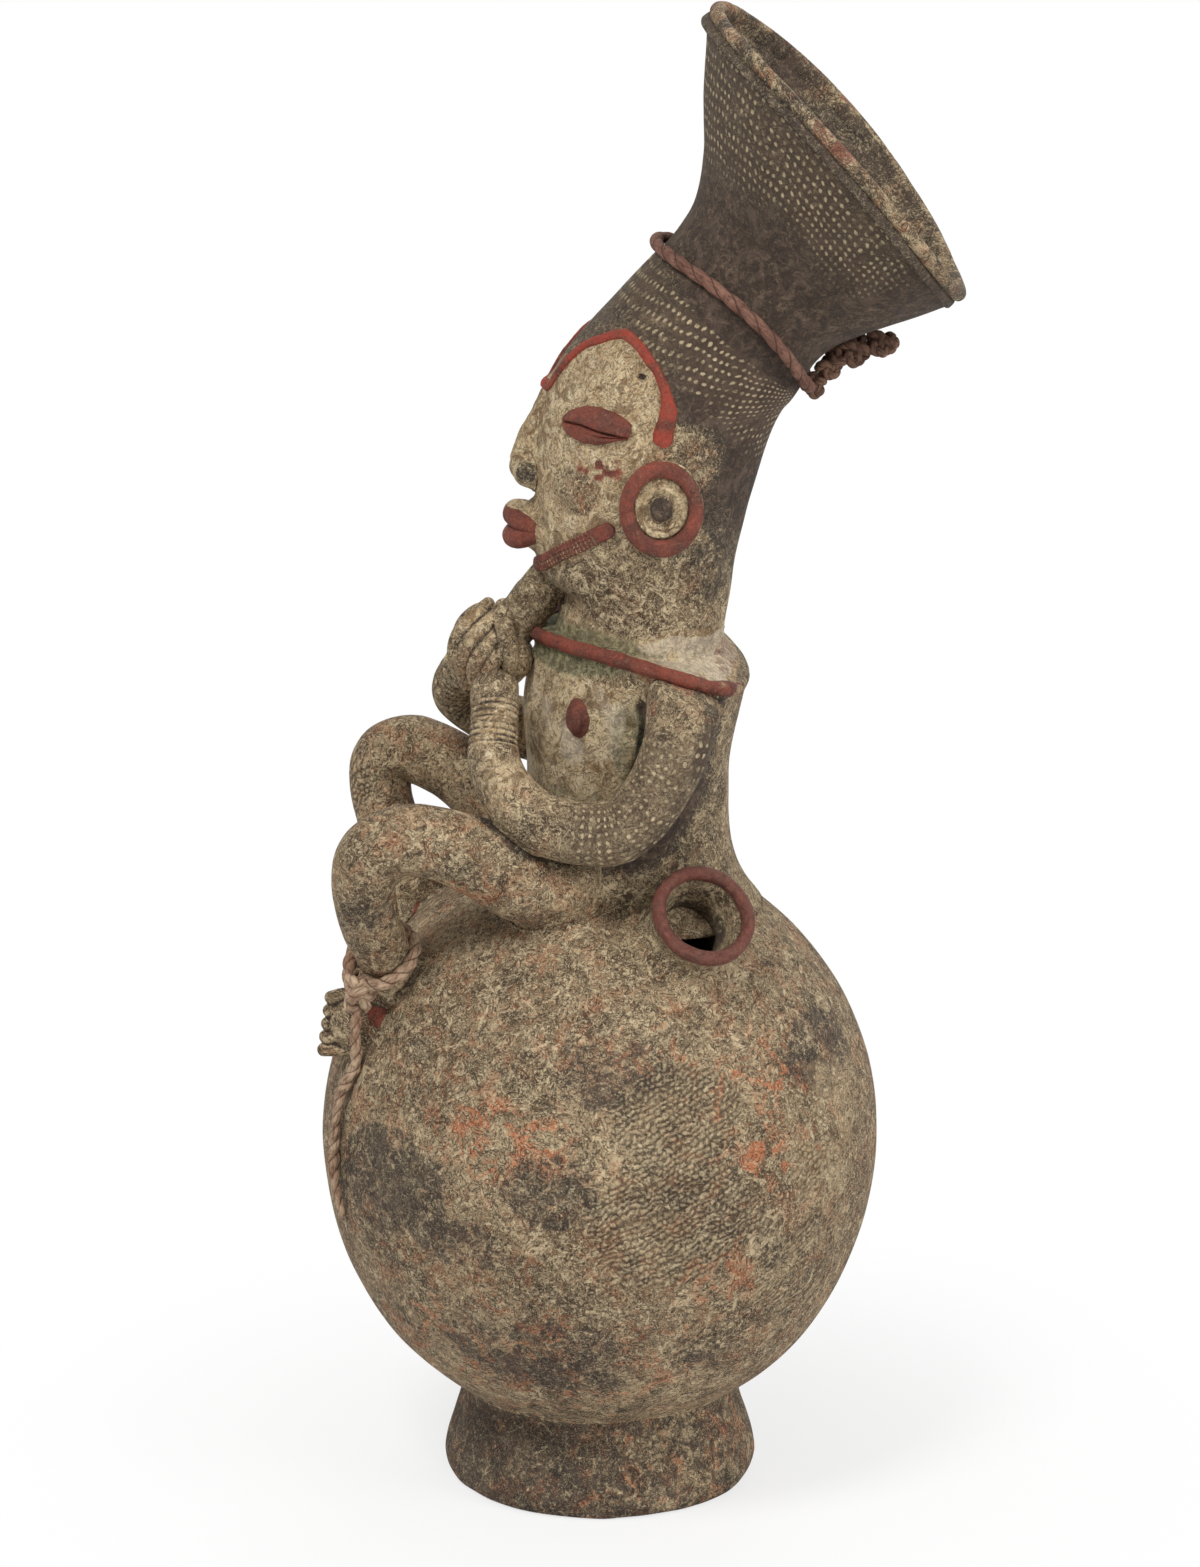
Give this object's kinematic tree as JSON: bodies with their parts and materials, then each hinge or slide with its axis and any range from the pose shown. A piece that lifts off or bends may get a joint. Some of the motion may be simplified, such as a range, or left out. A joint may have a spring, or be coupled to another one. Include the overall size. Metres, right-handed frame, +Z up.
{
  "type": "anthropomorphic spouted vessel",
  "caption": "Seated human figure in smoked unglazed clay on a round pot with a short spout; its tall flared coiffure is the open filling mouth. Red-painted trim, tied cords at neck and ankles.",
  "frame": {"origin": "centre of the bounding box on the surface that the foot ring stands on, the free rope end left out", "axes": "+Z up; the figure faces -X, its left side and the pouring spout are towards -Y, and the flared mouth leans back towards +X"},
  "size_m": [0.2543, 0.224, 0.6061],
  "materials": {
    "smoked_clay": "unglazed, matte, smoke-mottled",
    "dark_smoked_clay": "unglazed, matte, heavily smoked",
    "pale_slip_clay": "matte worn slip",
    "red_ochre_clay": "matte red ochre over clay",
    "tan_rope": "twisted two-ply plant-fibre cord",
    "red_brown_cord": "twisted cord, stained red-brown",
    "dark_cord": "caked knotted cord"
  },
  "bodies": {
    "root": {"foot_ring": "smoked_clay", "belly_bowl": "smoked_clay", "belly_dome": "smoked_clay", "spout": "smoked_clay", "spout_rim": "red_ochre_clay", "torso": "smoked_clay", "shoulder_yoke": "pale_slip_clay", "head": "smoked_clay", "coiffure_flare": "dark_smoked_clay", "coiffure_rim": "dark_smoked_clay", "hairline_band": "red_ochre_clay", "nose": "pale_slip_clay", "upper_lip": "red_ochre_clay", "lower_lip": "red_ochre_clay", "eye_left": "red_ochre_clay", "jaw_scar_left": "red_ochre_clay", "ear_ring_left": "red_ochre_clay", "ear_plug_left": "pale_slip_clay", "nipple_left": "red_ochre_clay", "eye_right": "red_ochre_clay", "jaw_scar_right": "red_ochre_clay", "ear_ring_right": "red_ochre_clay", "ear_plug_right": "pale_slip_clay", "nipple_right": "red_ochre_clay", "leg_left": "smoked_clay", "foot_left": "smoked_clay", "arm_left": "smoked_clay", "hand_left": "smoked_clay", "shoulder_ridge_left": "red_ochre_clay", "leg_right": "smoked_clay", "foot_right": "smoked_clay", "arm_right": "smoked_clay", "hand_right": "smoked_clay", "shoulder_ridge_right": "red_ochre_clay", "beard": "smoked_clay", "neck_cord": "red_brown_cord", "neck_cord_knot": "dark_cord", "neck_cord_tail": "dark_cord", "ankle_rope_left": "tan_rope", "ankle_knot_left": "tan_rope", "ankle_rope_tail": "tan_rope", "ankle_rope_right": "tan_rope", "ankle_knot_right": "tan_rope"}
  },
  "joints": []
}
